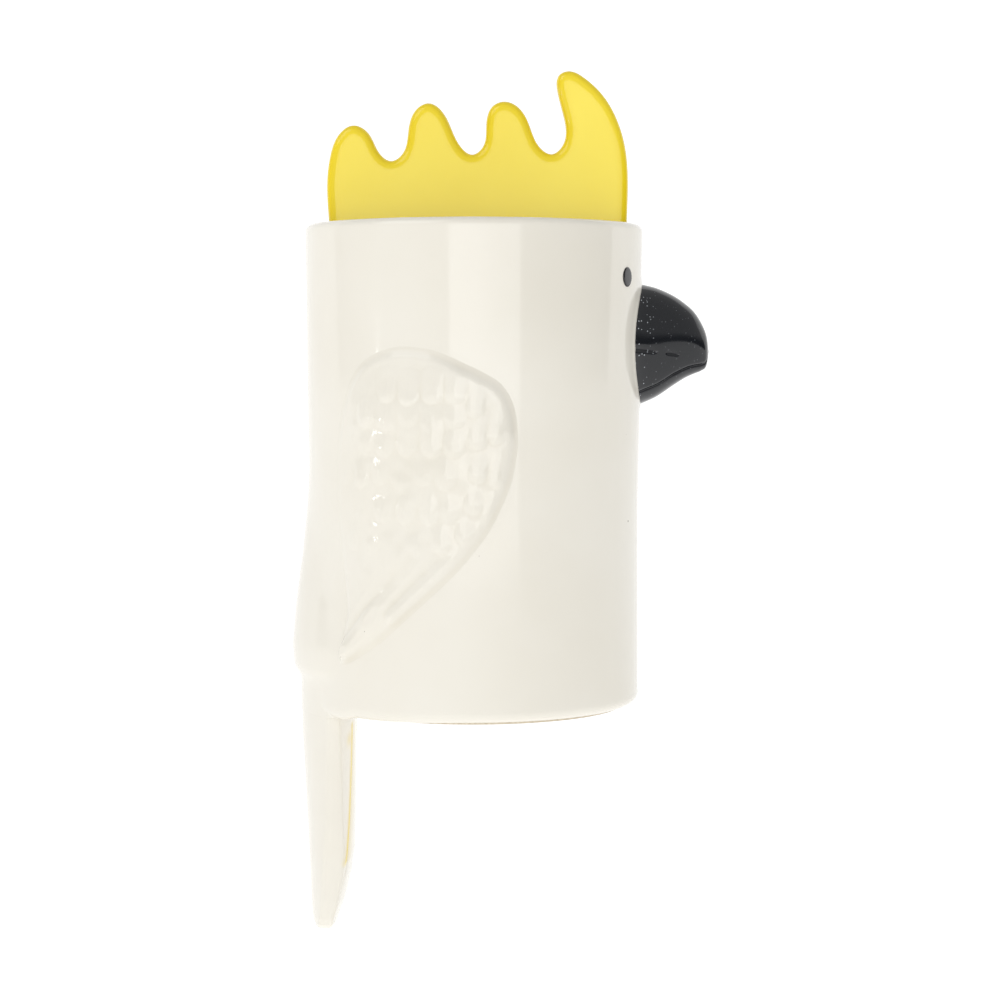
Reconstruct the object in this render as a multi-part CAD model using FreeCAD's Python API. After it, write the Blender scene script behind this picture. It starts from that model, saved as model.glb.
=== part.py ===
import FreeCAD, Part
import math
import os

# Glazed earthenware cockatoo jar that sits at the edge of a shelf with its tail hanging over the edge.
# Frame: origin on the vessel's axis at the foot's resting plane, +X towards the beak, +Z up,
# +Y the bird's left. Millimetres.

V = FreeCAD.Vector
Z_AXIS = V(0, 0, 1)

# Vessel
vessel_height = 145.5
waist_radius = 50.1
mouth_outer_radius = 51.1
wall = 4.5
floor_thickness = 5.0
underside_z = 0.8
base_edge_radius = 3.3
lip_outer_rounding = 2.2
mouth_radius = 47.3
ledge_z = 139.0
ledge_radius = 44.2

# Foot ring
foot_outer_radius = 45.5
foot_inner_radius = 37.5

# Lid
lid_radius = 46.9
lid_thickness = 4.0
locating_ring_radius = 43.6
locating_ring_wall = 3.4
locating_ring_depth = 8.0

# Crest
crest_thickness = 8.6
crest_edge_radius = 2.4

# Eyes
eye_radius = 2.95
eye_rise = 0.75
eye_height = 129.3
eye_angle = 27.0

# Wings
wing_radius = 51.6
panel_rise = 1.5
feather_rise = 2.7

# Tail
tail_axis_x = -18.0
tail_front_x = -35.9
tail_front_radius = 54.6
tail_length = 68.3
tail_root_half_width = 24.6
tail_coverts_half_width = 29.5


def arc_3(a, b, c):
    return Part.Arc(a, b, c).toShape()


def line(a, b):
    return Part.LineSegment(a, b).toShape()


def spline(points):
    curve = Part.BSplineCurve()
    curve.interpolate(points)
    return curve.toShape()


def outer_side_points():
    """The vessel's side, from the bottom edge's rounding up to the lip's."""
    return [
        V(50.2, 0, underside_z + base_edge_radius),
        V(waist_radius, 0, 32.0),
        V(50.0, 0, 64.0),
        V(50.45, 0, 90.0),
        V(50.9, 0, 130.0),
        V(mouth_outer_radius, 0, vessel_height - lip_outer_rounding),
    ]


def revolve_profile(edges):
    face = Part.Face(Part.Wire(edges))
    return face.revolve(V(0, 0, 0), Z_AXIS, 360)


def vessel_envelope():
    """The vessel as a full solid, used to seat everything that is luted to its surface."""
    side = outer_side_points()
    start = V(0, 0, underside_z)
    edge_in = V(side[0].x - base_edge_radius, 0, underside_z)
    turn = base_edge_radius * (1 - math.sqrt(0.5))
    edge_mid = V(side[0].x - turn, 0, underside_z + turn)
    lip_turn = lip_outer_rounding * (1 - math.sqrt(0.5))
    lip_mid = V(side[-1].x - lip_turn, 0, vessel_height - lip_turn)
    lip_top = V(side[-1].x - lip_outer_rounding, 0, vessel_height)
    top = V(0, 0, vessel_height)
    edges = [
        line(start, edge_in),
        arc_3(edge_in, edge_mid, side[0]),
        spline(side),
        arc_3(side[-1], lip_mid, lip_top),
        line(lip_top, top),
        line(top, start),
    ]
    return revolve_profile(edges)


def vessel_cavity():
    """Inside of the jar: rounded floor corner, straight wall, gallery ledge and mouth."""
    inner = waist_radius - wall
    floor_z = underside_z + floor_thickness
    corner = 6.0
    turn = corner * (1 - math.sqrt(0.5))
    points = [
        V(0, 0, floor_z),
        V(inner - corner, 0, floor_z),
        V(inner, 0, floor_z + corner),
        V(inner, 0, ledge_z - 8.0),
        V(ledge_radius, 0, ledge_z - 3.0),
        V(ledge_radius, 0, ledge_z),
        V(mouth_radius, 0, ledge_z),
        V(mouth_radius, 0, vessel_height - 1.6),
        V(mouth_radius + 1.6, 0, vessel_height),
        V(mouth_radius + 1.6, 0, vessel_height + 5.0),
        V(0, 0, vessel_height + 5.0),
    ]
    corner_mid = V(inner - turn, 0, floor_z + turn)
    lip_mid = V(mouth_radius + 1.6 * (1 - math.sqrt(0.5)), 0, vessel_height - 1.6 * (1 - math.sqrt(0.5)))
    edges = [line(points[0], points[1]), arc_3(points[1], corner_mid, points[2])]
    edges += [line(points[i], points[i + 1]) for i in range(2, 7)]
    edges.append(arc_3(points[7], lip_mid, points[8]))
    edges += [line(points[8], points[9]), line(points[9], points[10]), line(points[10], points[0])]
    return revolve_profile(edges)


def skin(rise):
    """A full solid whose side stands proud of the vessel by the given rise."""
    side = [V(p.x + rise, 0, p.z) for p in outer_side_points()]
    low = V(side[0].x, 0, 2.0)
    high = V(side[-1].x, 0, 140.0)
    upright = [low] + side[1:-1] + [high]
    edges = [line(V(0, 0, low.z), low), spline(upright), line(high, V(0, 0, high.z))]
    edges.append(line(V(0, 0, high.z), V(0, 0, low.z)))
    return revolve_profile(edges)


def foot_ring(tail_root):
    ring = Part.makeCylinder(foot_outer_radius, underside_z)
    ring = ring.cut(Part.makeCylinder(foot_inner_radius, underside_z))
    return ring.cut(tail_root)


def lid_plate():
    plate = Part.makeCylinder(lid_radius, lid_thickness, V(0, 0, ledge_z))
    return plate.makeFillet(0.8, [e for e in plate.Edges if len(e.Vertexes) == 1 and e.Length > 100])


def lid_locating_ring():
    bottom = V(0, 0, ledge_z - locating_ring_depth)
    ring = Part.makeCylinder(locating_ring_radius, locating_ring_depth, bottom)
    inner = Part.makeCylinder(locating_ring_radius - locating_ring_wall, locating_ring_depth, bottom)
    return ring.cut(inner)


def crest():
    """Flat fin along the middle of the lid: three small plumes and a tall hooked one at the front."""
    lid_top = ledge_z + lid_thickness
    outline = [
        (-43.7, lid_top), (-44.4, 158.5), (-43.4, 167.0), (-40.4, 174.0), (-36.4, 176.4),
        (-31.9, 174.1), (-28.4, 167.7), (-24.9, 165.4),
        (-21.6, 167.6), (-19.8, 175.0), (-16.6, 182.0), (-13.6, 183.2), (-8.9, 179.8), (-4.9, 171.3), (-0.2, 167.4),
        (2.6, 169.6), (3.7, 177.0), (5.9, 182.5), (9.3, 183.7), (13.6, 181.8), (17.3, 175.0), (20.4, 169.1),
        (23.4, 167.5),
        (26.9, 170.4), (27.3, 178.0), (25.2, 186.6), (25.7, 191.8), (28.2, 193.0), (33.4, 190.9), (39.1, 185.4),
        (43.4, 177.7), (45.9, 168.6), (46.6, 159.0), (46.3, lid_top),
    ]
    points = [V(x, -crest_thickness / 2, z) for x, z in outline]
    wire = Part.Wire([spline(points), line(points[-1], points[0])])
    fin = Part.Face(wire).extrude(V(0, crest_thickness, 0))
    rims = []
    for edge in fin.Edges:
        flat = edge.BoundBox.YLength < 1e-6
        if flat and edge.BoundBox.ZLength > 20:
            rims.append(edge)
    return fin.makeFillet(crest_edge_radius, rims)


def beak_form():
    """Whole bill: elliptical sections narrowing to a rounded, hooked front."""
    stations = [
        (45.0, 89.6, 128.6, 13.6),
        (50.9, 91.5, 127.7, 12.7),
        (55.5, 93.9, 126.5, 11.9),
        (60.4, 97.1, 124.4, 10.4),
        (64.0, 99.4, 122.0, 8.8),
        (66.8, 100.6, 119.5, 7.2),
        (69.0, 101.6, 116.0, 5.3),
        (70.5, 103.0, 112.4, 3.2),
    ]
    rings = []
    for x, low, high, half_width in stations:
        centre = V(x, 0, (low + high) / 2)
        half_height = (high - low) / 2
        ellipse = Part.Ellipse(centre, half_height, half_width)
        ring = ellipse.toShape()
        ring.rotate(centre, V(0, 1, 0), 90)
        rings.append(Part.Wire([ring]))
    tip = Part.Vertex(V(71.3, 0, 107.4))
    return Part.makeLoft(rings + [tip], True)


def beak_parts(envelope):
    """The bill split along the line of the mouth: the hooked upper over the tucked-in lower."""
    form = beak_form().cut(envelope)
    mouth = [V(40, -20, 108.6), V(54.3, -20, 107.3), V(61.6, -20, 105.5), V(65.4, -20, 101.6), V(65.8, -20, 97.0)]
    below = V(65.8, -20, 80)
    back = V(40, -20, 80)
    wire = Part.Wire([spline(mouth), line(mouth[-1], below), line(below, back), line(back, mouth[0])])
    lower_space = Part.Face(wire).extrude(V(0, 40, 0))
    return form.cut(lower_space), form.common(lower_space)


def eye(side, envelope):
    """A shallow bead: the cap of a ball sunk into the wall."""
    ball = (eye_radius ** 2 + eye_rise ** 2) / (2 * eye_rise)
    seat = 50.85
    angle = math.radians(eye_angle) * side
    reach = seat + eye_rise - ball
    centre = V(reach * math.cos(angle), reach * math.sin(angle), eye_height)
    return Part.makeSphere(ball, centre).cut(envelope)


def across_wall(s, z, side):
    """A point given by its distance round the wall from the flank, in the plane of the side view."""
    return V(wing_radius * math.sin(s / wing_radius), 20.0 * side, z)


def carry_out(wire, side):
    return Part.Face(wire).extrude(V(0, 45.0 * side, 0))


def wing_outline():
    """Teardrop: rounded shoulder, full front edge, and a tip that points down and back."""
    return [
        (-36.0, 103.4), (-30.0, 106.6), (-21.8, 108.6), (-13.2, 107.9), (-2.3, 103.6), (8.4, 97.6),
        (12.0, 91.3), (13.2, 82.2), (11.5, 70.9), (7.2, 60.7), (0.4, 50.5), (-8.6, 40.9),
        (-18.0, 32.6), (-29.8, 23.0), (-38.0, 18.0), (-44.6, 15.6), (-46.2, 18.6), (-44.2, 26.0),
        (-43.4, 34.0), (-45.0, 44.0), (-47.0, 56.0), (-47.6, 68.0), (-47.0, 80.0), (-44.6, 90.0),
        (-40.6, 98.0),
    ]


def cover_outline():
    """Edge of the feathered part, a step inside the teardrop."""
    return [
        (-34.6, 101.0), (-29.2, 104.2), (-21.6, 106.3), (-13.6, 105.6), (-3.4, 101.5), (6.4, 95.8),
        (10.0, 90.3), (11.0, 82.2), (9.4, 71.8), (5.4, 62.0), (-1.2, 52.2), (-10.0, 42.8),
        (-19.3, 34.6), (-30.6, 25.4), (-38.2, 20.8), (-42.6, 19.6), (-41.8, 26.6),
        (-41.2, 35.0), (-43.0, 44.6), (-45.0, 56.3), (-45.5, 68.0), (-45.0, 79.6), (-42.7, 89.2),
        (-39.0, 96.4),
    ]


def outline_prism(outline, side):
    closed = Part.BSplineCurve()
    closed.interpolate([across_wall(s, z, side) for s, z in outline], PeriodicFlag=True)
    return carry_out(Part.Wire([closed.toShape()]), side)


def scalloped_region(low, start, count, side):
    """Everything above a hem of rounded feather ends."""
    half = 3.5
    hem = [across_wall(start + half * i, low - 2.6 * (i % 2), side) for i in range(2 * count + 1)]
    top_right = across_wall(start + 2 * half * count, 115.0, side)
    top_left = across_wall(start, 115.0, side)
    edges = [spline(hem), line(hem[-1], top_right), line(top_right, top_left), line(top_left, hem[0])]
    return carry_out(Part.Wire(edges), side)


def front_region(side):
    """The strip of large feathers along the wing's front edge."""
    inner = [(-3.4, 110.0), (-1.6, 100.0), (-0.4, 90.0), (0.2, 80.0), (-1.6, 68.0), (-5.6, 57.0), (-11.0, 48.0)]
    points = [across_wall(s, z, side) for s, z in inner]
    low_right = across_wall(25.0, 30.0, side)
    high_right = across_wall(25.0, 110.0, side)
    edges = [spline(points), line(points[-1], low_right), line(low_right, high_right), line(high_right, points[0])]
    return carry_out(Part.Wire(edges), side)


def wing_parts(side, envelope):
    """The panel, and over it three sheets of coverts, the front-edge feathers and the flight feathers."""
    panel_skin = skin(panel_rise)
    panel = outline_prism(wing_outline(), side).common(panel_skin).cut(envelope)
    cover = outline_prism(cover_outline(), side).common(skin(feather_rise)).cut(panel_skin)
    front = front_region(side)
    parts = {"wing_panel": panel, "secondary_feathers": cover.common(front)}
    rest = cover.cut(front)
    hems = (("shoulder_coverts", 87.5, -49.0), ("median_coverts", 71.0, -52.5), ("greater_coverts", 54.5, -49.0))
    for name, low, start in hems:
        region = scalloped_region(low, start, 8, side)
        parts[name] = rest.common(region)
        rest = rest.cut(region)
    parts["primary_feathers"] = rest
    return parts


def tail_coverts(envelope):
    """Swelling over the root of the tail, fading into the wall upwards and to both sides."""
    profile = [
        V(31.6, 0, 74.0), V(32.6, 0, 61.0), V(34.3, 0, 46.3), V(36.2, 0, 31.7), V(37.4, 0, 19.0),
        V(37.2, 0, 13.2), V(35.7, 0, 9.4), V(34.85, 0, 6.0),
    ]
    top = V(0, 0, profile[0].z)
    bottom = V(0, 0, profile[-1].z)
    edges = [spline(profile), line(profile[-1], bottom), line(bottom, top), line(top, profile[0])]
    form = revolve_profile(edges)
    form.translate(V(tail_axis_x, 0, 0))
    y = tail_coverts_half_width
    return form.cut(envelope).common(Part.makeBox(40, 2 * y, 90, V(-70, -y, 0)))


def tail_back_form():
    """The tail's convex back, turned about an axis set back from the vessel's."""
    profile = [V(34.85, 0, 6.0), V(34.7, 0, -5.0), V(34.2, 0, -20.0), V(33.0, 0, -34.0), V(32.3, 0, -52.0),
               V(32.0, 0, -69.0)]
    top = V(0, 0, profile[0].z)
    bottom = V(0, 0, profile[-1].z)
    edges = [spline(profile), line(profile[-1], bottom), line(bottom, top), line(top, profile[0])]
    form = revolve_profile(edges)
    form.translate(V(tail_axis_x, 0, 0))
    return form


def tail_slab():
    """Front of the tail in plan: one gentle curve, full in the middle and thin at both edges."""
    top = 6.0
    y = 26.0
    edge_x = tail_front_x - y * y / (2 * tail_front_radius)
    front = arc_3(V(edge_x, -y, top), V(tail_front_x, 0, top), V(edge_x, y, top))
    back_left = V(-70, y, top)
    back_right = V(-70, -y, top)
    edges = [front, line(V(edge_x, y, top), back_left), line(back_left, back_right),
             line(back_right, V(edge_x, -y, top))]
    return Part.Face(Part.Wire(edges)).extrude(V(0, 0, -80))


def front_space(points):
    """Closed outline in the front view, carried through the tail."""
    mirrored = [V(p.x, -p.y, p.z) for p in reversed(points)]
    bottom = spline(points[1:] + mirrored[1:-1])
    edges = [line(points[0], points[1]), bottom, line(mirrored[-2], mirrored[-1]), line(mirrored[-1], points[0])]
    return Part.Face(Part.Wire(edges)).extrude(V(60, 0, 0))


def centre_feather(envelope):
    """Long middle feather: straight front, then curving back to a blunt rounded end."""
    straight_end = V(tail_front_x, -40, -41)
    tip_front = V(-43.6, -40, -67.6)
    low_front = V(-45.0, -40, -tail_length)
    low_back = V(-48.8, -40, -tail_length)
    back = V(-51.4, -40, -66.0)
    far = V(-70, -40, -66.0)
    top = V(-70, -40, 6)
    edges = [
        line(V(tail_front_x, -40, 6), straight_end),
        spline([straight_end, V(-37.2, -40, -52), V(-39.6, -40, -61), tip_front]),
        line(tip_front, low_front),
        line(low_front, low_back),
        line(low_back, back),
        line(back, far),
        line(far, top),
        line(top, V(tail_front_x, -40, 6)),
    ]
    side = Part.Face(Part.Wire(edges)).extrude(V(0, 80, 0))
    outline = [V(-80, 9.0, 6.0), V(-80, 9.0, -8.0), V(-80, 12.4, -30.0), V(-80, 16.0, -46.0), V(-80, 17.6, -53.0),
               V(-80, 17.0, -59.5), V(-80, 14.2, -65.0), V(-80, 8.0, -67.9), V(-80, 0.0, -tail_length)]
    form = tail_back_form().common(tail_slab()).common(side).common(front_space(outline))
    return form.cut(envelope)


def side_feather(side, centre, envelope):
    """Shorter feather beside the middle one, its outer edge drawing in to a rounded tip."""
    inner = [V(-80, 8.0, 6.0), V(-80, 8.0, -8.0), V(-80, 11.2, -30.0), V(-80, 14.6, -46.0), V(-80, 16.0, -50.0)]
    outer = [inner[-1], V(-80, 18.6, -47.4), V(-80, 20.3, -42.0), V(-80, 21.6, -33.0), V(-80, 23.4, -8.0),
             V(-80, 24.6, 6.0)]
    edges = [line(inner[0], inner[1]), spline(inner[1:]), spline(outer), line(outer[-1], inner[0])]
    space = Part.Face(Part.Wire(edges)).extrude(V(60, 0, 0))
    if side < 0:
        space = space.mirror(V(0, 0, 0), V(0, 1, 0))
    form = tail_back_form().common(tail_slab()).common(space)
    return form.cut(envelope).cut(centre)


def main():
    os.makedirs("parts", exist_ok=True)
    envelope = vessel_envelope()
    nodes = {"vessel": envelope.cut(vessel_cavity())}

    coverts = tail_coverts(envelope)
    centre = centre_feather(envelope)
    nodes["upper_tail_coverts"] = coverts
    nodes["tail_centre_feather"] = centre
    nodes["left_tail_side_feather"] = side_feather(1, centre, envelope)
    nodes["right_tail_side_feather"] = side_feather(-1, centre, envelope)

    root_y = tail_root_half_width + 0.5
    tail_root = Part.makeBox(40, 2 * root_y, 10, V(-75.6, -root_y, -2))
    nodes["foot_ring"] = foot_ring(tail_root)

    nodes["lid_plate"] = lid_plate()
    nodes["lid_locating_ring"] = lid_locating_ring()
    nodes["crest"] = crest()

    upper, lower = beak_parts(envelope)
    nodes["upper_beak"] = upper
    nodes["lower_beak"] = lower
    for name, side in (("left", 1), ("right", -1)):
        nodes[name + "_eye"] = eye(side, envelope)
        for part_name, shape in wing_parts(side, envelope).items():
            nodes[name + "_" + part_name] = shape

    for name, shape in nodes.items():
        shape.exportStep("parts/" + name + ".step")
        box = shape.BoundBox
        print(name, len(shape.Solids), shape.isValid(), round(shape.Volume, 1),
              [round(v, 1) for v in (box.XMin, box.XMax, box.YMin, box.YMax, box.ZMin, box.ZMax)])


main()
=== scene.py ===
import math

import bmesh
import bpy
import numpy as np
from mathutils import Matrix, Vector, kdtree, noise


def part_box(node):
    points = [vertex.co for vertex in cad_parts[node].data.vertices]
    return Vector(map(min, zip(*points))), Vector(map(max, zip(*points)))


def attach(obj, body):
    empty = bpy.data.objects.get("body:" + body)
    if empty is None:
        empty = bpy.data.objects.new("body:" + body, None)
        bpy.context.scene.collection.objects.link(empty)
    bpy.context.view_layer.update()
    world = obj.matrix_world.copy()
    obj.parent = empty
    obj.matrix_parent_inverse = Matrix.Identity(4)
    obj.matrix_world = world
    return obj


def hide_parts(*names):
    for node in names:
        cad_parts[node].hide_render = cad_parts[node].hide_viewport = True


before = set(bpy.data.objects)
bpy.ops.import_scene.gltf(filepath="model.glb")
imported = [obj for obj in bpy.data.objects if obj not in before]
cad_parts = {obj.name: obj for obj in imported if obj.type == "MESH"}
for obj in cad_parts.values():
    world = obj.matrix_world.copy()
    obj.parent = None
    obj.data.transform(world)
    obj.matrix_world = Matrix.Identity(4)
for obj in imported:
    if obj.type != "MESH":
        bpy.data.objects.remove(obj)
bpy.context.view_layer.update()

# Glazed cockatoo jar: smooth lathed vessel with a softly swollen rump, relief wings, dark bill,
# yellow fin of a crest on a lift-off lid, and a tail that hangs below the foot.
# Sizes below are millimetres in the row's frame; MM turns them into Blender's metres.

MM = 0.001

WALL_Z = [0.8, 4.1, 32.0, 64.0, 90.0, 130.0, 143.3, 145.5]
WALL_R = [50.2, 50.2, 50.1, 50.0, 50.45, 50.9, 51.1, 51.1]
UNDERSIDE_Z = 0.8
LIP_Z = 145.5
BASE_TURN = 3.3
LIP_TURN = 2.2
MOUTH_R = 47.3
LEDGE_Z = 139.0
LEDGE_R = 44.2
INSIDE_R = 45.6
INSIDE_CORNER = 6.0
FLOOR_TOP_Z = 5.8
WALL_MEAN_R = 50.5
LID_THICK = 4.0
LID_RING_DEPTH = 8.0
LID_RING_OUTER_R = 43.6
LID_RING_INNER_R = 40.2
TAIL_AXIS_X = -18.0
TAIL_BACK_R = 34.8
EYE_HEIGHT = 129.3
EYE_ANGLE = 27.0
BEAK_MID_Z = 109.6


# ---------------------------------------------------------------- small tools

def srgb(red, green, blue):
    """Display colour (0-255) as linear RGBA."""
    def one(value):
        value /= 255.0
        return value / 12.92 if value <= 0.04045 else ((value + 0.055) / 1.055) ** 2.4
    return (one(red), one(green), one(blue), 1.0)


def smooth_step(low, high, value):
    t = np.clip((value - low) / (high - low), 0.0, 1.0)
    return t * t * (3.0 - 2.0 * t)


def soft_max(a, b, width):
    return 0.5 * (a + b + np.sqrt((a - b) ** 2 + width * width))


def wall_radius(z):
    """Radius of the vessel's side at a height, smoothed between its measured rings."""
    z = np.asarray(z, dtype=float)
    total = np.zeros_like(z)
    offsets = np.linspace(-9.0, 9.0, 13)
    for offset in offsets:
        total += np.interp(z + offset, WALL_Z, WALL_R)
    return total / len(offsets)


def mesh_object(name, points, faces):
    """A smooth-shaded object from points in millimetres."""
    mesh = bpy.data.meshes.new(name)
    mesh.from_pydata([tuple(p) for p in np.asarray(points) * MM], [], faces)
    mesh.validate()
    mesh.update()
    mesh.shade_smooth()
    obj = bpy.data.objects.new(name, mesh)
    bpy.context.scene.collection.objects.link(obj)
    return obj


def add_attribute(obj, name, values):
    layer = obj.data.attributes.new(name, "FLOAT", "POINT")
    layer.data.foreach_set("value", np.asarray(values, dtype=np.float32))


def read_points(obj):
    count = len(obj.data.vertices)
    flat = np.empty(count * 3, dtype=np.float32)
    obj.data.vertices.foreach_get("co", flat)
    return flat.reshape(-1, 3).astype(float) / MM


def write_points(obj, points):
    obj.data.vertices.foreach_set("co", (points * MM).astype(np.float32).ravel())
    obj.data.update()


def read_normals(obj):
    count = len(obj.data.vertices)
    flat = np.empty(count * 3, dtype=np.float32)
    obj.data.vertex_normals.foreach_get("vector", flat)
    return flat.reshape(-1, 3).astype(float)


# ---------------------------------------------------------------- materials

def noise_node(tree, scale, detail, coords):
    node = tree.nodes.new("ShaderNodeTexNoise")
    node.inputs["Scale"].default_value = scale
    node.inputs["Detail"].default_value = detail
    tree.links.new(coords, node.inputs["Vector"])
    return node.outputs["Fac"]


def ramp_node(tree, source, stops):
    node = tree.nodes.new("ShaderNodeValToRGB")
    ramp = node.color_ramp
    while len(ramp.elements) < len(stops):
        ramp.elements.new(0.5)
    for element, (place, colour) in zip(ramp.elements, stops):
        element.position = place
        element.color = colour
    tree.links.new(source, node.inputs["Fac"])
    return node.outputs["Color"]


def mix_node(tree, factor, first, second, blend="MIX"):
    node = tree.nodes.new("ShaderNodeMix")
    node.data_type = "RGBA"
    node.blend_type = blend
    sockets = (node.inputs[0], node.inputs[6], node.inputs[7])
    for socket, value in zip(sockets, (factor, first, second)):
        if isinstance(value, bpy.types.NodeSocket):
            tree.links.new(value, socket)
        else:
            socket.default_value = value
    return node.outputs[2]


def math_node(tree, operation, first, second):
    node = tree.nodes.new("ShaderNodeMath")
    node.operation = operation
    for socket, value in zip(node.inputs, (first, second)):
        if isinstance(value, bpy.types.NodeSocket):
            tree.links.new(value, socket)
        else:
            socket.default_value = value
    return node.outputs[0]


def attribute_node(tree, name):
    node = tree.nodes.new("ShaderNodeAttribute")
    node.attribute_name = name
    return node.outputs["Fac"]


def glaze(name, main, deep, roughness, speck=None, speck_share=0.03, speck_scale=120.0,
          wave=0.05, peel=0.02, deep_attribute=None, wash=None, wash_attribute=None,
          speck_attribute=None):
    """A thick glossy glaze: slow colour drift, deeper where it pools and where shade is painted in,
    pinholes, and a wavy skin.
    """
    material = bpy.data.materials.new(name)
    material.use_nodes = True
    tree = material.node_tree
    shader = tree.nodes["Principled BSDF"]
    coords = tree.nodes.new("ShaderNodeTexCoord").outputs["Object"]

    drift = ramp_node(tree, noise_node(tree, 26.0, 3.0, coords),
                      [(0.35, (0, 0, 0, 1)), (0.7, (1, 1, 1, 1))])
    colour = mix_node(tree, math_node(tree, "MULTIPLY", drift, 0.35), main, deep)
    if deep_attribute:
        colour = mix_node(tree, attribute_node(tree, deep_attribute), colour, deep)
    if wash_attribute:
        colour = mix_node(tree, attribute_node(tree, wash_attribute), colour, wash)
    if speck:
        cells = tree.nodes.new("ShaderNodeTexVoronoi")
        cells.inputs["Scale"].default_value = speck_scale
        tree.links.new(coords, cells.inputs["Vector"])
        spot = ramp_node(tree, cells.outputs["Distance"],
                         [(speck_share * 0.6, (1, 1, 1, 1)), (speck_share, (0, 0, 0, 1))])
        chosen = tree.nodes.new("ShaderNodeSeparateColor")
        tree.links.new(cells.outputs["Color"], chosen.inputs["Color"])
        rare = ramp_node(tree, chosen.outputs[0], [(0.30, (1, 1, 1, 1)), (0.32, (0, 0, 0, 1))])
        spot = math_node(tree, "MULTIPLY", spot, rare)
        if speck_attribute:
            spot = math_node(tree, "MULTIPLY", spot, attribute_node(tree, speck_attribute))
        colour = mix_node(tree, spot, colour, speck)
    tree.links.new(colour, shader.inputs["Base Color"])

    gloss = ramp_node(tree, noise_node(tree, 60.0, 4.0, coords),
                      [(0.3, (roughness * 0.75,) * 3 + (1,)), (0.75, (roughness * 1.35,) * 3 + (1,))])
    tree.links.new(gloss, shader.inputs["Roughness"])

    slow = noise_node(tree, 45.0, 2.0, coords)
    fine = noise_node(tree, 700.0, 2.0, coords)
    height = math_node(tree, "ADD", math_node(tree, "MULTIPLY", slow, wave),
                       math_node(tree, "MULTIPLY", fine, peel))
    bump = tree.nodes.new("ShaderNodeBump")
    bump.inputs["Strength"].default_value = 0.35
    bump.inputs["Distance"].default_value = 0.001
    tree.links.new(height, bump.inputs["Height"])
    tree.links.new(bump.outputs["Normal"], shader.inputs["Normal"])
    shader.inputs["IOR"].default_value = 1.5
    return material


def bare_clay():
    """Dry, gritty unglazed clay."""
    material = bpy.data.materials.new("bare_clay")
    material.use_nodes = True
    tree = material.node_tree
    shader = tree.nodes["Principled BSDF"]
    coords = tree.nodes.new("ShaderNodeTexCoord").outputs["Object"]
    grain = noise_node(tree, 900.0, 6.0, coords)
    colour = ramp_node(tree, grain, [(0.3, srgb(196, 182, 158)), (0.7, srgb(226, 216, 196))])
    tree.links.new(colour, shader.inputs["Base Color"])
    rough = ramp_node(tree, grain, [(0.2, (0.75, 0.75, 0.75, 1)), (0.8, (0.95, 0.95, 0.95, 1))])
    tree.links.new(rough, shader.inputs["Roughness"])
    bump = tree.nodes.new("ShaderNodeBump")
    bump.inputs["Strength"].default_value = 0.5
    bump.inputs["Distance"].default_value = 0.0003
    tree.links.new(grain, bump.inputs["Height"])
    tree.links.new(bump.outputs["Normal"], shader.inputs["Normal"])
    return material


# the cream's deeper colour in the wings' hollows and the tail's seams is partly painted shade, partly
# pooled glaze
CREAM = glaze("cream_glaze", srgb(236, 232, 221), srgb(227, 221, 206), 0.10,
              speck=srgb(120, 100, 80), speck_share=0.035, speck_scale=90.0,
              deep_attribute="pool_and_shade")
TAIL_CREAM = glaze("cream_glaze_with_yellow_wash", srgb(236, 232, 221), srgb(227, 221, 206), 0.10,
                   speck=srgb(120, 100, 80), speck_share=0.035, speck_scale=90.0,
                   wash=srgb(230, 204, 84), wash_attribute="yellow_wash", deep_attribute="pool_and_shade")
# the yellow's deeper colour follows the crest's rim: partly painted shade of the turned-away rim,
# partly thicker glaze
YELLOW = glaze("yellow_glaze", srgb(250, 228, 66), srgb(240, 212, 30), 0.09,
               deep_attribute="edge", wave=0.06)
CHARCOAL = glaze("charcoal_glaze", srgb(26, 28, 32), srgb(16, 18, 22), 0.09,
                 speck=srgb(190, 194, 200), speck_share=0.26, speck_scale=1100.0, wave=0.04, peel=0.03,
                 speck_attribute="near_wall")
BLACK = glaze("black_glaze", srgb(14, 14, 15), srgb(8, 8, 9), 0.06)
CLAY = bare_clay()


def finish_piece(obj, body, slot, material, *nodes):
    obj.data.materials.clear()
    obj.data.materials.append(material)
    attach(obj, body)
    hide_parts(*nodes)


# ---------------------------------------------------------------- vessel

def turned(name, profile, segments, shape=None):
    """A closed turned body from (radius, height) rings; shape(angles, radius, height) may swell it."""
    angles = np.linspace(0.0, 2.0 * math.pi, segments, endpoint=False)
    points, rings = [], []
    for radius, z in profile:
        if radius < 1e-6:
            rings.append([len(points)])
            points.append((0.0, 0.0, z))
            continue
        ring_radius = np.full(segments, float(radius))
        if shape is not None:
            ring_radius = shape(angles, ring_radius, z)
        rings.append(list(range(len(points), len(points) + segments)))
        points.extend(zip(ring_radius * np.cos(angles), ring_radius * np.sin(angles),
                          np.full(segments, float(z))))
    faces = []
    for low, high in zip(rings[:-1], rings[1:]):
        for i in range(segments):
            j = (i + 1) % segments
            if len(low) == 1:
                faces.append((low[0], high[j], high[i]))
            elif len(high) == 1:
                faces.append((low[i], low[j], high[0]))
            else:
                faces.append((low[i], low[j], high[j], high[i]))
    return mesh_object(name, points, faces)


def turn_of(centre_r, centre_z, radius, start, end, steps):
    """Points of a rounded corner between two angles in degrees."""
    return [(centre_r + radius * math.cos(math.radians(a)),
             centre_z + radius * math.sin(math.radians(a)))
            for a in np.linspace(start, end, steps)]


def wall_angle_offset(angles, centre):
    """Signed angle from a direction on the wall."""
    return (angles - centre + math.pi) % (2.0 * math.pi) - math.pi


WOBBLE = 0.10


def wall_wobble(angle, z):
    """Slow unevenness of the cast wall, mm."""
    return WOBBLE * noise.noise(Vector((math.cos(angle) * 1.6, math.sin(angle) * 1.6, z / 38.0)))


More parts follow.
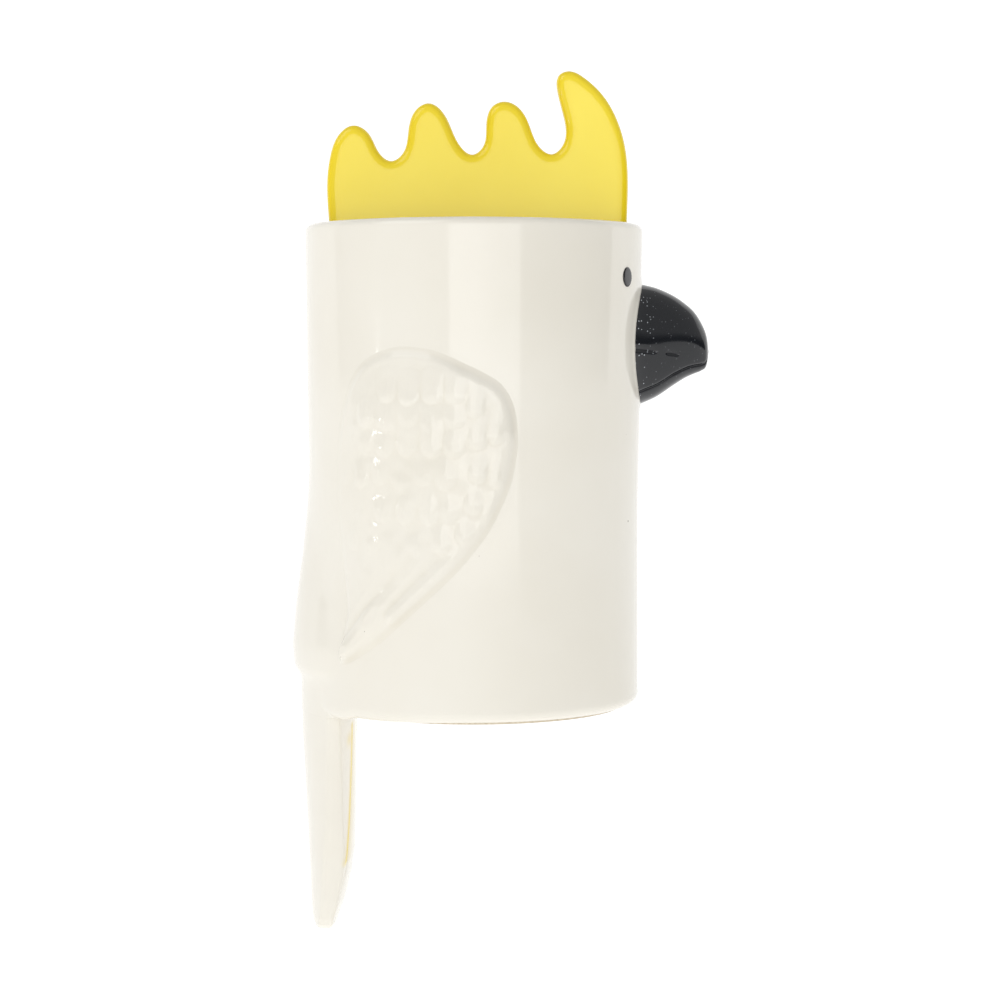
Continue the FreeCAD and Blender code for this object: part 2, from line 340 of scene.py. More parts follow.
COLLAR_HALF_WIDTH = 17.2
COLLAR_HALF_HEIGHT = 18.7
COLLAR_MEAN_R = 17.5
COLLAR_HEIGHT = 0.22
COLLAR_SPREAD = 0.7


def collar_rise(across, up):
    """Glaze drawn up round the base of the bill, fading into the wall."""
    ring = np.sqrt((across / COLLAR_HALF_WIDTH) ** 2 + (up / COLLAR_HALF_HEIGHT) ** 2)
    outside = (ring - 1.0) * COLLAR_MEAN_R
    return COLLAR_HEIGHT * np.exp(-outside ** 2 / (2.0 * COLLAR_SPREAD ** 2))


def tail_reach(turn, own):
    """Distance from the vessel's axis to the tail's convex back, at an angle from straight back."""
    along = np.cos(turn) * -TAIL_AXIS_X
    return along + np.sqrt(np.clip(own ** 2 - TAIL_AXIS_X ** 2 + along ** 2, 0.0, None))


# Radius of the tail's back and of the swelling above it, about the tail's own axis, against height.
RUMP_Z = [0.0, 6.0, 8.5, 9.8, 11.2, 12.8, 19.0, 31.7, 46.3, 61.0, 74.0, 80.0]
RUMP_R = [34.82, 34.85, 35.0, 35.3, 36.4, 37.05, 37.5, 36.3, 34.3, 32.6, 31.6, 31.4]
RUMP_FADE_Z = (64.0, 80.0)
OUTER_RINGS_FROM_R = 46.5


def vessel_shape(angles, radius, z):
    """Relief of the outer wall: collar round the bill, the rump, and a cast wall's unevenness."""
    if z < UNDERSIDE_Z - 0.01 or radius[0] < OUTER_RINGS_FROM_R:
        return radius
    across = wall_angle_offset(angles, 0.0) * WALL_MEAN_R
    rise = collar_rise(across, z - BEAK_MID_Z)
    wobble = np.array([wall_wobble(a, z) for a in angles])
    outer = radius + rise + wobble * smooth_step(UNDERSIDE_Z, 6.0, z)
    turn = wall_angle_offset(angles, math.pi)
    offsets = np.linspace(-0.9, 0.9, 5)
    own = sum(np.interp(z + offset, RUMP_Z, RUMP_R) for offset in offsets) / 5.0
    width = 0.15 + 0.75 * float(smooth_step(2.0, 12.0, z))
    swell = soft_max(tail_reach(turn, own) - outer, 0.0, width)
    beside = smooth_step(25.0, 29.5, np.abs(turn) * WALL_R[0]) * (1.0 - smooth_step(3.0, 8.0, z))
    fade = 1.0 - smooth_step(*RUMP_FADE_Z, z)
    return outer + swell * (1.0 - beside) * fade * (np.abs(turn) < 1.0)


def outer_profile():
    foot_r = float(wall_radius(UNDERSIDE_Z + BASE_TURN))
    lip_r = float(wall_radius(LIP_Z - LIP_TURN))
    base = turn_of(foot_r - BASE_TURN, UNDERSIDE_Z + BASE_TURN, BASE_TURN, -90.0, 0.0, 12)
    lip = turn_of(lip_r - LIP_TURN, LIP_Z - LIP_TURN, LIP_TURN, 0.0, 90.0, 12)
    heights = np.linspace(base[-1][1], lip[0][1], 150)[1:-1]
    side = [(float(wall_radius(z)), float(z)) for z in heights]
    return base + side + lip


BASE_DROOP = 0.75
BASE_DROOP_AT_TAIL = 1.3


def vessel():
    """Jar's wall, floor, mouth and ledge; its lower edge droops behind, most beside the tail."""
    profile = [(0.0, UNDERSIDE_Z), (30.0, UNDERSIDE_Z), (45.0, UNDERSIDE_Z)] + outer_profile()
    profile += turn_of(MOUTH_R + 1.6, LIP_Z - 1.6, 1.6, 90.0, 180.0, 8)
    profile += [(MOUTH_R, 141.0), (MOUTH_R, LEDGE_Z + 0.3), (MOUTH_R - 0.3, LEDGE_Z),
                (44.5, LEDGE_Z), (LEDGE_R, LEDGE_Z - 0.3), (LEDGE_R, 136.3), (44.5, 135.5),
                (INSIDE_R, 131.5), (INSIDE_R, 120.0), (INSIDE_R, 60.0)]
    profile += turn_of(INSIDE_R - INSIDE_CORNER, FLOOR_TOP_Z + INSIDE_CORNER, INSIDE_CORNER,
                       0.0, -90.0, 10)
    profile += [(30.0, FLOOR_TOP_Z), (12.0, FLOOR_TOP_Z), (0.0, FLOOR_TOP_Z)]
    obj = turned("vessel_wall", profile, 448, vessel_shape)
    points = read_points(obj)
    x, y, z = points.T
    low_edge = 1.0 - smooth_step(UNDERSIDE_Z, 9.0, z)
    low_edge = low_edge * smooth_step(44.0, OUTER_RINGS_FROM_R, np.hypot(x, y))
    points[:, 2] -= low_edge * (BASE_DROOP * smooth_step(2.0, -30.0, x)
                                + BASE_DROOP_AT_TAIL * smooth_step(-34.0, -39.0, x))
    write_points(obj, points)
    return obj


# ---------------------------------------------------------------- wings

# Outline of a wing: distance round the wall from the jar's side (forward is +), and height.
WING_EDGE = [
    (-30.0, 106.6), (-21.8, 108.6), (-13.2, 107.9), (-7.4, 106.0), (-2.3, 103.6), (2.8, 101.2),
    (8.4, 97.6),
    (12.0, 91.3), (13.2, 82.2), (12.6, 76.6), (11.5, 70.9), (9.7, 66.0), (7.2, 60.7), (4.3, 55.6),
    (0.4, 50.5), (-4.0, 45.4), (-8.6, 40.9), (-13.2, 36.8), (-18.0, 32.6), (-23.0, 28.4), (-29.8, 23.0),
    (-38.0, 18.0), (-44.6, 15.6), (-46.2, 18.6), (-44.2, 26.0), (-43.2, 34.0), (-45.0, 44.0),
    (-47.0, 56.0), (-47.6, 68.0), (-47.0, 80.0), (-44.6, 90.0), (-40.6, 98.0), (-36.0, 103.4),
]


def closed_curve(points, steps):
    """Smooth closed curve through points."""
    p = np.asarray(points)
    before, after, beyond = np.roll(p, 1, 0), np.roll(p, -1, 0), np.roll(p, -2, 0)
    out = []
    for t in np.linspace(0.0, 1.0, steps, endpoint=False):
        out.append(0.5 * (2 * p + (after - before) * t
                          + (2 * before - 5 * p + 4 * after - beyond) * t ** 2
                          + (3 * p - before - 3 * after + beyond) * t ** 3))
    return np.stack(out, 1).reshape(-1, 2)


def distance_inside(outline, s, z):
    """Distance to a closed outline, positive inside."""
    a = outline
    b = np.roll(outline, -1, 0)
    nearest = np.full(s.shape, 1e9)
    crossings = np.zeros(s.shape, dtype=int)
    for (ax, az), (bx, bz) in zip(a, b):
        dx, dz = bx - ax, bz - az
        t = np.clip(((s - ax) * dx + (z - az) * dz) / (dx * dx + dz * dz), 0.0, 1.0)
        nearest = np.minimum(nearest, np.hypot(s - ax - t * dx, z - az - t * dz))
        hit = ((az > z) != (bz > z)) & (s < (bx - ax) * (z - az) / (bz - az + 1e-12) + ax)
        crossings += hit
    return np.where(crossings % 2 == 1, nearest, -nearest)


# Rows of small feathers: height of each row, and the middle of each feather round the wall.
COVERT_ROWS = (
    (97.5, (-4.5, -11.3, -18.2, -25.0)),
    (90.0, (-4.6, -11.4, -18.4, -25.4, -32.2)),
    (82.6, (-4.9, -11.5, -18.5, -25.4, -32.6, -39.0)),
    (73.6, (-7.4, -13.6, -20.3, -27.2, -34.2, -40.5)),
    (63.2, (-6.6, -12.0, -18.8, -25.9, -33.1, -40.0)),
    (54.4, (-8.9, -15.6, -22.8, -30.0, -37.4)),
)


def feather_list():
    """(root s, root z, tip s, tip z, half width, height) of each feather, over the wing in order."""
    feathers = []
    for index, (z, centres) in enumerate(COVERT_ROWS):
        for i, s in enumerate(centres):
            tall = 0.80 + 0.22 * math.sin(7.3 * i + 3.1 * index) - 0.05 * i
            drop = 0.7 * math.sin(2.9 * i + 1.7 * index)
            lean = 0.3 + 0.35 * i * index / 3.0
            feathers.append((s + lean * 0.5, z + 4.6 + drop, s - lean, z - 5.4 + drop, 3.5, tall))
    for s, z, reach, half in ((1.9, 100.0, 12.0, 3.1), (2.6, 90.5, 11.5, 3.2), (2.7, 81.0, 11.5, 3.2),
                              (1.5, 71.5, 11.0, 3.2), (-1.2, 62.5, 10.5, 3.1)):
        feathers.append((s, z, s - 1.4, z - reach, half, 1.1))
    for s, z, reach, half in ((8.0, 95.0, 14.5, 2.9), (8.2, 82.5, 14.5, 2.9), (6.3, 70.5, 13.0, 2.8),
                              (2.6, 60.0, 12.0, 2.6)):
        feathers.append((s + 0.4, z, s - 1.8, z - reach, half, 1.0))
    feathers += [
        (-3.0, 51.5, -25.5, 29.3, 3.1, 1.25),
        (-10.5, 52.5, -34.5, 25.5, 3.3, 1.05),
        (-16.5, 45.0, -43.8, 18.2, 3.4, 1.5),
        (-22.0, 49.0, -44.0, 26.5, 3.2, 0.7),
    ]
    return feathers


def feather_height(feather, s, z):
    """Low dome with a rounded free end; it rises from the root, so that a row lies over the next."""
    s0, z0, s1, z1, half, height = feather
    length = math.hypot(s1 - s0, z1 - z0)
    us, uz = (s1 - s0) / length, (z1 - z0) / length
    t = ((s - s0) * us + (z - z0) * uz) / length
    across = ((s - s0) * -uz + (z - z0) * us) / half
    round_from = max(0.4, 1.0 - 1.25 * half / length)
    end = np.clip((t - round_from) / (1.0 - round_from), 0.0, None)
    start = np.clip((0.12 - t) / 0.2, 0.0, None)
    reach = 1.0 - across ** 2 - end ** 2 - start ** 2
    dome = np.sqrt(np.clip(reach, 0.0, None))
    shaft = 0.10 * np.exp(-(across / 0.16) ** 2) * np.clip(dome, 0.0, 1.0)
    slope = 0.25 + 0.75 * np.clip(t, 0.0, 1.0)
    return 1.35 * height * slope * dome + shaft * height - 0.2 * (reach < 0.0)


WING_R = 51.6
WING_STEP = 0.34
WING_RISE_LIMIT = 2.65
WING_BORDER = 2.0
GRAIN_HEIGHT = 0.12
EDGE_SINK = 0.16
POOL_AND_SHADE_DEPTH = 0.35


def noise_field(s, z, size, layer):
    """Smooth noise over the wing's grid, at a size in mm."""
    values = [noise.noise(Vector((a / size, b / size, layer))) for a, b in zip(s.ravel(), z.ravel())]
    return np.array(values).reshape(s.shape)


def wing(side):
    """Applied wing as one softly glazed relief over the wall; side is 1 for left, -1 for right."""
    s_values = np.arange(-50.0, 16.5, WING_STEP)
    z_values = np.arange(12.5, 111.5, WING_STEP)
    s, z = np.meshgrid(s_values, z_values)
    outline = closed_curve(WING_EDGE, 4)
    inside = distance_inside(outline, s, z)
    relief = np.zeros_like(s)
    for feather in feather_list():
        relief = soft_max(relief, feather_height(feather, s, z), 0.16)
    rear = (1.0 - smooth_step(-47.0, -30.0, s)) * smooth_step(19.0, 31.0, z)
    strength = 1.0 - rear
    slow = noise_field(s, z, 11.0, 1.7)
    grain = noise_field(s, z, 3.6, 4.2)
    top = smooth_step(84.0, 106.0, z) * (1.0 - smooth_step(-14.0, 2.0, s))
    panel = (1.0 - 0.65 * top) * strength * smooth_step(-0.8, 3.4, inside)
    crown = 0.04 + 0.45 * smooth_step(0.0, 16.0, inside)
    feathered = relief * smooth_step(0.6, 3.0, inside) * (0.35 + 0.65 * strength)
    feathered = feathered * (1.0 + 0.5 * slow)
    rough = GRAIN_HEIGHT * grain * smooth_step(0.5, 4.0, inside) * strength
    rise = panel + crown + feathered + rough
    rise = rise - EDGE_SINK * (1.0 - smooth_step(-WING_BORDER, 1.2, inside))
    blur = rise.copy()
    for _ in range(2):
        blur[1:-1, 1:-1] = (blur[1:-1, 1:-1] * 2 + blur[:-2, 1:-1] + blur[2:, 1:-1]
                            + blur[1:-1, :-2] + blur[1:-1, 2:]) / 6.0
    rise = np.minimum(blur, WING_RISE_LIMIT)
    wide = rise.copy()
    for _ in range(24):
        wide[1:-1, 1:-1] = (wide[:-2, 1:-1] + wide[2:, 1:-1]
                            + wide[1:-1, :-2] + wide[1:-1, 2:]) / 4.0
    # painted shade: deeper cream where the relief dips below its surroundings and along its sunk
    # border, partly glaze pooled there
    pool_and_shade = np.clip((wide - rise) / POOL_AND_SHADE_DEPTH, 0.0, 1.0)

    turn = s / WING_R
    wobble = np.array([wall_wobble(math.atan2(side * math.cos(t), math.sin(t)), h)
                       for t, h in zip(turn.ravel(), z.ravel())])
    radius = wall_radius(z) + wobble.reshape(s.shape) + rise
    x = radius * np.sin(turn)
    y = side * radius * np.cos(turn)
    keep = inside > -WING_BORDER
    index = -np.ones(s.shape, dtype=int)
    index[keep] = np.arange(int(keep.sum()))
    points = np.stack([x[keep], y[keep], z[keep]], 1)
    faces = []
    rows, columns = s.shape
    for r in range(rows - 1):
        for c in range(columns - 1):
            corners = (index[r, c], index[r, c + 1], index[r + 1, c + 1], index[r + 1, c])
            if min(corners) >= 0:
                faces.append(corners if side < 0 else corners[::-1])
    name = "left_wing" if side > 0 else "right_wing"
    obj = mesh_object(name, points, faces)
    add_attribute(obj, "pool_and_shade", pool_and_shade[keep])
    return obj


# ---------------------------------------------------------------- tail, crest and bill

def softened(node, name, voxel, rounds):
    """A node's form, remade as an even skin with its edges rounded as glaze rounds them."""
    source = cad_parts[node]
    mesh = source.data.copy()
    mesh.materials.clear()
    obj = bpy.data.objects.new(name, mesh)
    bpy.context.scene.collection.objects.link(obj)
    weld = obj.modifiers.new("weld", "WELD")
    weld.merge_threshold = 0.00001
    remesh = obj.modifiers.new("skin", "REMESH")
    remesh.mode = "VOXEL"
    remesh.voxel_size = voxel * MM
    ease = obj.modifiers.new("ease", "SMOOTH")
    ease.factor = 0.5
    ease.iterations = rounds
    graph = bpy.context.evaluated_depsgraph_get()
    final = bpy.data.meshes.new_from_object(obj.evaluated_get(graph))
    final.name = name
    obj.modifiers.clear()
    obj.data = final
    bpy.data.meshes.remove(mesh)
    for layer in list(final.attributes):
        if layer.name.startswith("custom_normal"):
            final.attributes.remove(layer)
    final.shade_smooth()
    return obj


# Tail: half width, back and front faces, and the seam between feathers, against height.
TAIL_Z = [6.0, -8.0, -20.0, -35.0, -44.5, -50.6, -59.0, -64.0, -66.2, -67.4, -68.0, -68.3]
TAIL_HALF = [24.4, 23.6, 22.7, 21.5, 19.5, 18.3, 16.9, 15.2, 13.6, 11.6, 9.6, 7.6]
TAIL_BACK_X = [-52.9, -52.6, -52.0, -51.2, -50.8, -50.5, -50.2, -49.9, -49.6, -49.2, -48.4, -47.2]
TAIL_FRONT_X = [-35.9, -35.9, -35.9, -36.0, -36.3, -37.2, -39.2, -41.0, -41.7, -42.5, -43.6, -44.8]
SEAM_Z = [-68.3, -59.5, -53.0, -46.0, -30.0, -8.0, 6.0]
SEAM_Y = [14.0, 15.6, 15.8, 14.6, 12.0, 9.0, 9.0]
TAIL_TIP_FROM_Z = -64.0
TAIL_EDGE_TURN = 1.3


def tail_section(z):
    """Closed outline (x, y) of the tail at a height: a deep curve behind, a shallow one in front."""
    half, back, front = [float(np.interp(z, TAIL_Z[::-1], values[::-1]))
                         for values in (TAIL_HALF, TAIL_BACK_X, TAIL_FRONT_X)]
    y = half * np.sin(np.linspace(-0.5 * math.pi, 0.5 * math.pi, 121))
    depth = front - back
    back_curve = TAIL_BACK_R - np.sqrt(TAIL_BACK_R ** 2 - y ** 2)
    edge_drop = np.clip(back_curve, 0.0, depth * 0.62)
    front_drop = np.clip(y ** 2 / 150.0, 0.0, depth * 0.3)
    behind = back + edge_drop
    before = front - front_drop
    middle = 0.5 * (behind + before)
    into_edge = np.clip((np.abs(y) - (half - TAIL_EDGE_TURN)) / TAIL_EDGE_TURN, 0.0, 1.0)
    edge = np.clip(1.0 - into_edge ** 4, 0.0, 1.0) ** 0.25
    seam = np.interp(z, SEAM_Z, SEAM_Y)
    groove = np.exp(-((np.abs(y) - seam) / 0.7) ** 2) * 0.55 * smooth_step(-58.0, -48.0, z)
    inner = 0.35 * smooth_step(0.0, 1.2, seam - np.abs(y)) * smooth_step(-60.0, -40.0, z)
    quill = 0.18 * np.exp(-(np.abs(y) / 0.9) ** 2) * smooth_step(-66.0, -58.0, z)
    quill = quill * (1.0 - smooth_step(-6.0, 0.0, z))
    behind = middle + (behind + quill - middle) * edge
    before = middle + (before - groove - inner - middle) * edge
    x = np.concatenate([behind, before[::-1][1:-1]])
    return x, np.concatenate([y, y[::-1][1:-1]])


def tail():
    """Long hanging tail: three feathers under one glaze, seams showing only on the front."""
    tip = np.sin(np.linspace(0.0, 0.5 * math.pi, 26))[1:]
    heights = np.concatenate([np.linspace(5.2, TAIL_TIP_FROM_Z, 190), TAIL_TIP_FROM_Z - 4.3 * tip])
    points, faces = [], []
    for z in heights:
        offsets = (-1.0, 0.0, 1.0) if z > TAIL_TIP_FROM_Z + 1.0 else (0.0,)
        smooth_x, smooth_y = 0.0, 0.0
        for offset in offsets:
            x, y = tail_section(z + offset)
            smooth_x, smooth_y = smooth_x + x, smooth_y + y
        count = float(len(offsets))
        points.extend(zip(smooth_x / count, smooth_y / count, np.full(len(x), z)))
    around = len(x)
    for r in range(len(heights) - 1):
        for i in range(around):
            j = (i + 1) % around
            faces.append((r * around + i, r * around + j,
                          (r + 1) * around + j, (r + 1) * around + i))
    faces.append(tuple(range(around))[::-1])
    faces.append(tuple(range((len(heights) - 1) * around, len(heights) * around)))
    obj = mesh_object("tail_glazed", points, faces)
    under_tail_paint(obj)
    return obj


def under_tail_paint(obj):
    """Yellow brushed on the tail's front: a line just outside each seam and a thin wash between."""
    points = read_points(obj)
    normals = read_normals(obj)
    y, z = points[:, 1], points[:, 2]
    front = smooth_step(0.1, 0.5, normals[:, 0])
    seam = np.interp(z, SEAM_Z, SEAM_Y)
    off = np.abs(y) - seam
    line = np.exp(-((off - 2.4) / 1.6) ** 2)
    wash = 0.25 * smooth_step(-8.0, -1.0, off) * (1.0 - smooth_step(-0.4, 0.3, off))
    root = 0.5 * np.exp(-((off - 6.0) / 2.2) ** 2 - ((z + 9.0) / 2.0) ** 2)
    fade = smooth_step(-48.0, -45.5, z) * (1.0 - smooth_step(-5.5, -3.5, z))
    add_attribute(obj, "yellow_wash", np.clip((line + wash) * fade + root, 0.0, 1.0) * front)
    # painted shade: deeper cream along the seam groove on the tail's front, partly glaze pooled there
    add_attribute(obj, "pool_and_shade", np.clip(np.exp(-(off / 0.8) ** 2) * front * 0.5, 0.0, 1.0))


CREST_FOOT_Z = 143.0
CREST_SHRINK = 0.976


def crest():
    """Softened crest, its height eased to the photographed one and its rounded rim painted deeper
    yellow: partly painted shade where the rim turns from the light, partly thicker glaze.
    """
    obj = softened("crest", "crest_fin", 0.5, 8)
    points = read_points(obj)
    normals = read_normals(obj)
    rim = np.nonzero(np.abs(normals[:, 1]) < 0.6)[0]
    tree = kdtree.KDTree(len(rim))
    for i, index in enumerate(rim):
        tree.insert(Vector(points[index]), i)
    tree.balance()
    reach = np.array([tree.find(Vector(p))[2] for p in points])
    # painted shade: deeper yellow within a few mm of the rim where it turns from the light, partly
    # thicker glaze there
    add_attribute(obj, "edge", 1.0 - smooth_step(0.2, 3.8, reach))
    points[:, 2] = CREST_FOOT_Z + (points[:, 2] - CREST_FOOT_Z) * CREST_SHRINK
    write_points(obj, points)
    return obj


# Bill: lower and upper edge and half width against x, and the line of the mouth.
BILL_X = [44.0, 47.8, 50.9, 55.5, 60.4, 64.0, 66.8, 69.0, 70.6, 71.38]
BILL_LOW = [88.6, 90.2, 91.6, 93.7, 97.0, 99.3, 100.6, 101.5, 102.9, 107.35]
BILL_HIGH = [130.0, 128.8, 127.8, 126.6, 124.4, 122.0, 119.5, 116.2, 112.4, 107.45]
BILL_HALF = [19.0, 16.3, 14.0, 12.1, 10.4, 8.8, 7.2, 5.4, 3.3, 0.0]
MOUTH_X = [44.0, 50.6, 54.3, 60.0, 64.5]
MOUTH_Z = [108.5, 108.0, 107.6, 106.9, 106.2]


def eased(values, t):
    """Smooth curve through evenly numbered values, at fractional places t."""
    p = np.asarray(values, dtype=float)
    p = np.concatenate([[2 * p[0] - p[1]], p, [2 * p[-1] - p[-2]]])
    i = np.clip(np.floor(t).astype(int), 0, len(values) - 2)
    f = t - i
    a, b, c, d = p[i], p[i + 1], p[i + 2], p[i + 3]
    return 0.5 * (2 * b + (c - a) * f + (2 * a - 5 * b + 4 * c - d) * f ** 2
                  + (3 * b - a - 3 * c + d) * f ** 3)


def bill():
    """Hooked bill: domed sections that shrink to a rounded nose, creased at the mouth."""
    sections, around = 150, 360
    t = (len(BILL_X) - 1) * (1.0 - (1.0 - np.linspace(0.0, 1.0, sections)) ** 1.5)
    x_line, low, high = eased(BILL_X, t), eased(BILL_LOW, t), eased(BILL_HIGH, t)
    half = np.clip(eased(BILL_HALF, t), 0.0, None)
    angle = np.linspace(0.0, 2.0 * math.pi, around, endpoint=False)
    points, faces = [], []
    for x, lo, hi, w in zip(x_line[:-1], low[:-1], high[:-1], half[:-1]):
        mid, tall = (lo + hi) / 2.0, (hi - lo) / 2.0
        fullness = np.where(np.cos(angle) < 0.0, 0.8, 1.0)
        y = w * np.sign(np.sin(angle)) * np.abs(np.sin(angle)) ** fullness
        z = mid + tall * np.cos(angle)
        mouth = np.interp(x, MOUTH_X, MOUTH_Z)
        corner = 0.6 * (1.0 - smooth_step(53.5, 55.5, x))
        nick = 0.6 * smooth_step(57.0, 59.0, x) * (1.0 - smooth_step(60.5, 62.5, x))
        crease = (corner + nick) * np.exp(-((z - mouth) / 0.6) ** 2)
        rim = lo + float(np.interp(x, [50.0, 60.0, 66.0, 70.0], [4.2, 3.7, 2.7, 1.8]))
        groove = 0.95 * np.exp(-((z - rim) / 0.42) ** 2) * min(1.0, w / 6.0)
        shrink = 1.0 - (crease + groove) / max(w, 1.0)
        points.extend(zip(np.full(around, x), y * shrink, z))
    for r in range(sections - 2):
        for i in range(around):
            j = (i + 1) % around
            faces.append((r * around + i, (r + 1) * around + i,
                          (r + 1) * around + j, r * around + j))
    nose = len(points)
    points.append((BILL_X[-1], 0.0, 107.4))
    last = (sections - 2) * around
    faces += [(last + i, nose, last + (i + 1) % around) for i in range(around)]
    faces.append(tuple(range(around)))
    obj = mesh_object("bill", points, faces)
    x = read_points(obj)[:, 0]
    add_attribute(obj, "near_wall", 0.12 + 0.88 * (1.0 - smooth_step(49.0, 56.0, x)))
    return obj


def eye(side):
    """Domed eye with a slightly flattened rim, seated in the wall."""
    centre_angle = math.radians(EYE_ANGLE) * side
    out = Vector((math.cos(centre_angle), math.sin(centre_angle), 0.0))
    across = Vector((-out.y, out.x, 0.0))
    up = Vector((0.0, 0.0, 1.0))
    centre = out * float(wall_radius(EYE_HEIGHT)) + up * EYE_HEIGHT
    rings = [(2.80, -0.7), (2.90, -0.2), (2.92, 0.0), (2.86, 0.14),
             (2.70, 0.25), (2.45, 0.30), (1.9, 0.33), (1.0, 0.35)]
    points, faces = [], []
    count = 48
    for radius, rise in rings:
        for i in range(count):
            a = 2.0 * math.pi * i / count
            points.append(centre + out * rise
                          + across * (radius * math.cos(a)) + up * (radius * math.sin(a)))
    points.append(centre + out * 0.355)
    points.append(centre - out * 0.7)
    for ring in range(len(rings) - 1):
        for i in range(count):
            j = (i + 1) % count
            a, b = ring * count, (ring + 1) * count
            faces.append((a + i, a + j, b + j, b + i))
    last = (len(rings) - 1) * count
    for i in range(count):
        j = (i + 1) % count
        faces.append((last + i, last + j, len(points) - 2))
        faces.append((j, i, len(points) - 1))
    name = ("left" if side > 0 else "right") + "_eye_bead"
    return mesh_object(name, [tuple(p) for p in points], faces)


# ---------------------------------------------------------------- lid

def lid_plate():
    """Round lid, with a fillet of glaze round the crest's foot."""
    top = LEDGE_Z + LID_THICK
    profile = [(0.0, LEDGE_Z), (30.0, LEDGE_Z), (45.9, LEDGE_Z)]
    profile += turn_of(46.1, LEDGE_Z + 0.8, 0.8, -90.0, 0.0, 5)
    profile += turn_of(45.8, top - 1.1, 1.1, 0.0, 90.0, 7)
    profile += [(45.0, top)] + [(r, top) for r in np.linspace(44.0, 1.0, 87)] + [(0.0, top)]
    obj = turned("lid_plate_glazed", profile, 256)
    points = read_points(obj)
    x, y, z = points.T
    on_top = z > top - 0.01
    beside = np.clip(np.abs(y) - 4.2, 0.0, None)
    beyond = np.clip(np.maximum(x - 46.0, -43.8 - x), 0.0, None)
    near = np.hypot(beside, beyond)
    fillet = 1.3 * np.exp(-(near / 1.1) ** 2) * smooth_step(46.1, 44.5, np.hypot(x, y))
    points[:, 2] += np.where(on_top, fillet, 0.0)
    write_points(obj, points)
    return obj


def lid_ring():
    """Ring under the lid that centres it in the mouth."""
    bottom = LEDGE_Z - LID_RING_DEPTH
    profile = [(40.6, LEDGE_Z), (LID_RING_INNER_R, LEDGE_Z - 0.4), (LID_RING_INNER_R, 136.0)]
    profile += turn_of(41.2, bottom + 1.0, 1.0, 180.0, 270.0, 6)
    profile += turn_of(42.6, bottom + 1.0, 1.0, 270.0, 360.0, 6)
    profile += [(LID_RING_OUTER_R, 136.0), (LID_RING_OUTER_R, LEDGE_Z)]
    profile.append(profile[0])
    obj = turned("lid_ring_glazed", profile, 256)
    mesh = obj.data
    work = bmesh.new()
    work.from_mesh(mesh)
    bmesh.ops.remove_doubles(work, verts=work.verts, dist=1e-6)
    bmesh.ops.recalc_face_normals(work, faces=work.faces)
    work.to_mesh(mesh)
    work.free()
    mesh.shade_smooth()
    return obj


# ---------------------------------------------------------------- build

def zero_attribute(obj, name):
    add_attribute(obj, name, np.zeros(len(obj.data.vertices)))


def build():
    body = vessel()
    zero_attribute(body, "pool_and_shade")
    finish_piece(body, "jar", "cream_glaze", CREAM, "vessel", "upper_tail_coverts")

    for side, name in ((1, "left"), (-1, "right")):
        parts = ("wing_panel", "shoulder_coverts", "median_coverts", "greater_coverts",
                 "secondary_feathers", "primary_feathers")
        finish_piece(wing(side), "jar", "cream_glaze", CREAM, *[name + "_" + part for part in parts])
        finish_piece(eye(side), "jar", "black_glaze", BLACK, name + "_eye")
    finish_piece(tail(), "jar", "cream_glaze", TAIL_CREAM,
                 "tail_centre_feather", "left_tail_side_feather", "right_tail_side_feather")
    finish_piece(bill(), "jar", "charcoal_glaze", CHARCOAL, "upper_beak", "lower_beak")

    plate = lid_plate()
    zero_attribute(plate, "pool_and_shade")
    finish_piece(plate, "lid", "cream_glaze", CREAM, "lid_plate")
    ring = lid_ring()
    zero_attribute(ring, "pool_and_shade")
    finish_piece(ring, "lid", "cream_glaze", CREAM, "lid_locating_ring")
    finish_piece(crest(), "lid", "yellow_glaze", YELLOW, "crest")

    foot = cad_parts["foot_ring"]
    foot.data.materials.clear()
    foot.data.materials.append(CLAY)


# ---------------------------------------------------------------- set and light

FLOOR_REACH = 7000.0
SWEEP_FROM_Y = 1500.0
SWEEP_R = 700.0


def floor():
    """Pale sweep under and behind the jar, below the tail."""
    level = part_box("tail_centre_feather")[0].z / MM - 0.6
    path = [(y, level) for y in np.linspace(-FLOOR_REACH, SWEEP_FROM_Y, 18)]
    path += [(SWEEP_FROM_Y + SWEEP_R * math.sin(a), level + SWEEP_R - SWEEP_R * math.cos(a))
             for a in np.linspace(0.1, math.pi / 2, 16)]
    path.append((SWEEP_FROM_Y + SWEEP_R, 3000.0))
    points, faces = [], []
    for y, z in path:
        points += [(-FLOOR_REACH, y, z), (FLOOR_REACH, y, z)]
    for i in range(len(path) - 1):
        a = 2 * i
        faces.append((a, a + 1, a + 3, a + 2))
    obj = mesh_object("floor", points, faces)
    material = bpy.data.materials.new("floor_paper")
    material.use_nodes = True
    shader = material.node_tree.nodes["Principled BSDF"]
    shader.inputs["Base Color"].default_value = (0.30, 0.30, 0.30, 1.0)
    shader.inputs["Roughness"].default_value = 0.9
    shader.inputs["Specular IOR Level"].default_value = 0.0
    shader.inputs["Emission Color"].default_value = (1.0, 1.0, 1.0, 1.0)
    shader.inputs["Emission Strength"].default_value = 0.92
    obj.data.materials.append(material)


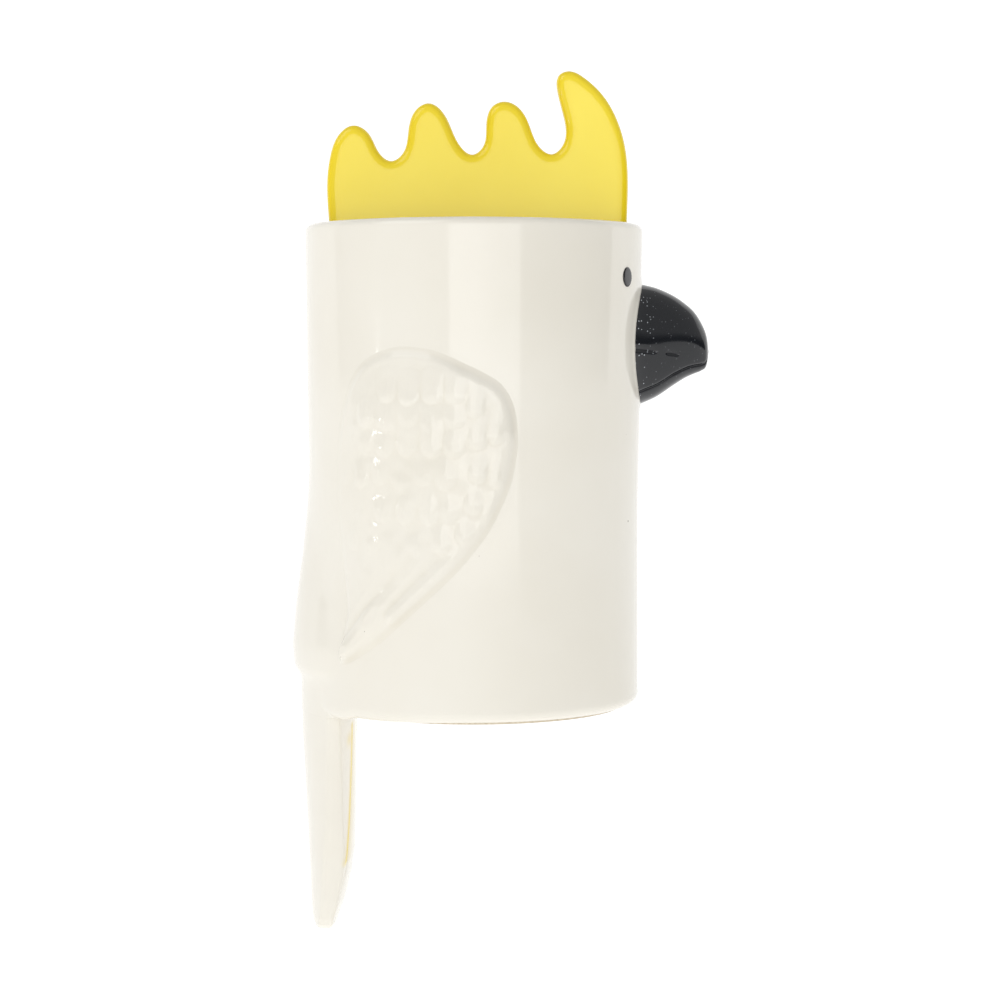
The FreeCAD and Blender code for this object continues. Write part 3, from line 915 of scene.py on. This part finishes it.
def softbox(name, place, target, width, height, power):
    """Rectangular light: place, target, width and height in metres, power in watts."""
    data = bpy.data.lights.new(name, "AREA")
    data.shape = "RECTANGLE"
    data.size = width
    data.size_y = height
    data.energy = power
    obj = bpy.data.objects.new(name, data)
    bpy.context.scene.collection.objects.link(obj)
    obj.location = place
    obj.rotation_euler = (Vector(target) - Vector(place)).to_track_quat("-Z", "Y").to_euler()


def lights():
    """Pale room with a dark low band towards +X, which the bill reflects, and three lights."""
    world = bpy.data.worlds.new("studio")
    world.use_nodes = True
    tree = world.node_tree
    split = tree.nodes.new("ShaderNodeSeparateXYZ")
    tree.links.new(tree.nodes.new("ShaderNodeTexCoord").outputs["Generated"], split.inputs[0])
    dark, pale = (0.06, 0.06, 0.06, 1.0), (0.51, 0.51, 0.51, 1.0)
    black, white = (0.0, 0.0, 0.0, 1.0), (1.0, 1.0, 1.0, 1.0)
    sky = ramp_node(tree, split.outputs["Z"], [(0.0, dark), (0.09, dark), (0.24, pale)])
    towards_bill = ramp_node(tree, split.outputs["X"], [(0.05, black), (0.3, white)])
    sky = mix_node(tree, towards_bill, pale, sky)
    tree.links.new(sky, tree.nodes["Background"].inputs["Color"])
    bpy.context.scene.world = world
    bpy.context.scene.view_settings.view_transform = "Standard"
    softbox("front_box", (0.2, -1.25, 0.17), (0.2, 0.0, 0.17), 1.1, 0.46, 2.8)
    softbox("side_box", (-0.7, -0.6, 0.9), (0.0, 0.0, 0.08), 0.9, 0.7, 3.2)
    softbox("small_lamp", (-1.1, -0.48, 0.068), (0.0, 0.0, 0.08), 0.032, 0.022, 0.13)


CAMERA_LENS = 87.4
CAMERA_PLACE = (0.0079, -0.740, 0.1065)
CAMERA_PITCH = -3.43


def camera():
    """View of the right side from below the rim, tilted slightly down."""
    data = bpy.data.cameras.new("camera")
    data.lens = CAMERA_LENS
    data.sensor_width = 36.0
    data.clip_start = 0.05
    data.clip_end = 20.0
    obj = bpy.data.objects.new("camera", data)
    bpy.context.scene.collection.objects.link(obj)
    obj.location = CAMERA_PLACE
    obj.rotation_euler = (math.radians(90.0 + CAMERA_PITCH), 0.0, 0.0)
    bpy.context.scene.camera = obj


build()
floor()
lights()
camera()
